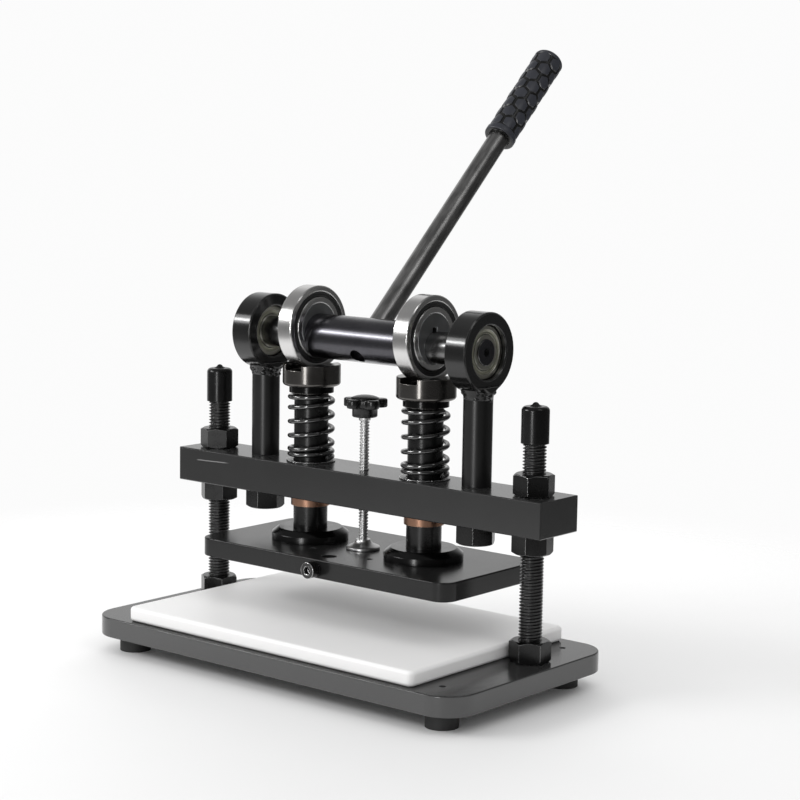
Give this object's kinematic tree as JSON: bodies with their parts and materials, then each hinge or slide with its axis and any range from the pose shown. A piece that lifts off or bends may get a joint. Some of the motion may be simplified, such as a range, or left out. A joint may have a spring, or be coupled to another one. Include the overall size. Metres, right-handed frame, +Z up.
{
  "type": "manual die cutting machine",
  "caption": "Bench die cutting machine: a hand lever turns an eccentric shaft whose rollers push a sprung press plate down over a white cutting board.",
  "frame": {"origin": "on the bench, under the centre of the base plate", "axes": "+Z up, +X to the right and +Y to the back as the user sits at the machine; the lever leans to +Y at rest"},
  "size_m": [0.38, 0.3737, 0.4996],
  "materials": {
    "base_paint": "satin black paint",
    "black_steel": "black oxide",
    "plate_steel": "ground and blackened",
    "foot_rubber": "matte",
    "board_plastic": "smooth white plastic",
    "vinyl": "glossy dipped vinyl",
    "zinc": "zinc plated",
    "bearing_steel": "ground",
    "shield_steel": "oiled sheet steel",
    "ball_steel": "polished",
    "roller_steel": "polished",
    "seal_rubber": "satin",
    "bronze": "turned bronze",
    "spring_steel": "oiled black spring wire",
    "grip_rubber": "moulded with raised pads",
    "knob_plastic": "satin moulding"
  },
  "bodies": {
    "base": {"base_plate": "base_paint", "rubber_feet": "foot_rubber", "foot_screws": "zinc", "column_left": "black_steel", "column_right": "black_steel", "base_nut_left": "black_steel", "base_nut_right": "black_steel", "thread_cap_left": "vinyl", "thread_cap_right": "vinyl"},
    "board": {"cutting_board": "board_plastic"},
    "beam": {"cross_beam": "base_paint", "bearing_post_left": "black_steel", "bearing_post_right": "black_steel", "post_nut_left": "black_steel", "post_nut_right": "black_steel", "bearing_outer_left": "bearing_steel", "bearing_outer_right": "bearing_steel", "bearing_balls_left": "ball_steel", "bearing_balls_right": "ball_steel", "bearing_shields_left": "shield_steel", "bearing_shields_right": "shield_steel", "bush_left": "bronze", "bush_right": "bronze", "spring_washer_left": "zinc", "spring_washer_right": "zinc", "spring_left": "spring_steel", "spring_right": "spring_steel"},
    "lower_nut_left": {"lower_nut_left": "black_steel"},
    "lower_nut_right": {"lower_nut_right": "black_steel"},
    "upper_nut_left": {"upper_nut_left": "black_steel"},
    "upper_nut_right": {"upper_nut_right": "black_steel"},
    "camshaft": {"cam_shaft": "black_steel", "hub_keys": "black_steel", "lever_bar": "black_steel", "lever_grip": "grip_rubber", "hub_left": "black_steel", "hub_right": "black_steel", "roller_inner_left": "roller_steel", "roller_inner_right": "roller_steel", "bearing_inner_left": "bearing_steel", "bearing_inner_right": "bearing_steel"},
    "roller_left": {"roller_outer_left": "roller_steel", "roller_balls_left": "ball_steel", "roller_seals_left": "seal_rubber"},
    "roller_right": {"roller_outer_right": "roller_steel", "roller_balls_right": "ball_steel", "roller_seals_right": "seal_rubber"},
    "press": {"press_plate": "plate_steel", "plunger_screws": "black_steel", "clamp_screw": "black_steel", "plunger_left": "black_steel", "plunger_right": "black_steel", "flange_left": "black_steel", "flange_right": "black_steel", "slotted_cap_left": "black_steel", "slotted_cap_right": "black_steel"},
    "limit_foot": {"limit_foot": "zinc"},
    "limit_screw": {"limit_screw": "zinc", "star_knob": "knob_plastic"}
  },
  "joints": [
    {"name": "board_slide", "type": "slide", "parent": "base", "child": "board", "axis": [0, -1, 0], "range_m": [0, 0.09]},
    {"name": "beam_height", "type": "slide", "parent": "base", "child": "beam", "axis": [0, 0, 1], "range_m": [-0.02, 0.02]},
    {"name": "lower_nut_left_turn", "type": "hinge", "parent": "beam", "child": "lower_nut_left", "pos_m": [-0.165, 0.026, 0.12075], "axis": [0, 0, 1], "range_deg": [-2880, 2880]},
    {"name": "lower_nut_right_turn", "type": "hinge", "parent": "beam", "child": "lower_nut_right", "pos_m": [0.165, 0.026, 0.12075], "axis": [0, 0, 1], "range_deg": [-2880, 2880]},
    {"name": "upper_nut_left_turn", "type": "hinge", "parent": "beam", "child": "upper_nut_left", "pos_m": [-0.165, 0.026, 0.16525], "axis": [0, 0, 1], "range_deg": [-2880, 2880]},
    {"name": "upper_nut_right_turn", "type": "hinge", "parent": "beam", "child": "upper_nut_right", "pos_m": [0.165, 0.026, 0.16525], "axis": [0, 0, 1], "range_deg": [-2880, 2880]},
    {"name": "lever_swing", "type": "hinge", "parent": "beam", "child": "camshaft", "pos_m": [0, 0.026, 0.2606], "axis": [1, 0, 0], "range_deg": [0, 135]},
    {"name": "roller_left_spin", "type": "hinge", "parent": "camshaft", "child": "roller_left", "pos_m": [-0.06, 0.026, 0.2671], "axis": [1, 0, 0], "continuous": true},
    {"name": "roller_right_spin", "type": "hinge", "parent": "camshaft", "child": "roller_right", "pos_m": [0.06, 0.026, 0.2671], "axis": [1, 0, 0], "continuous": true},
    {"name": "press_slide", "type": "slide", "parent": "beam", "child": "press", "axis": [0, 0, -1], "range_m": [0, 0.0111], "stiffness_N_per_m": 22500, "springref_m": -0.005, "deforming": ["spring_left", "spring_right"]},
    {"name": "limit_travel", "type": "slide", "parent": "beam", "child": "limit_foot", "axis": [0, 0, 1], "range_m": [0, 0.02]},
    {"name": "limit_turn", "type": "hinge", "parent": "limit_foot", "child": "limit_screw", "pos_m": [0, 0.023, 0.1], "axis": [0, 0, 1], "range_deg": [0, 5760]}
  ],
  "couplings": [
    {"joint": "press_slide", "follows": "lever_swing", "m_per_rad": 0.00471},
    {"joint": "lower_nut_left_turn", "follows": "beam_height", "rad_per_m": 2513.3},
    {"joint": "lower_nut_right_turn", "follows": "beam_height", "rad_per_m": 2513.3},
    {"joint": "upper_nut_left_turn", "follows": "beam_height", "rad_per_m": 2513.3},
    {"joint": "upper_nut_right_turn", "follows": "beam_height", "rad_per_m": 2513.3},
    {"joint": "limit_turn", "follows": "limit_travel", "rad_per_m": 5026.5}
  ]
}
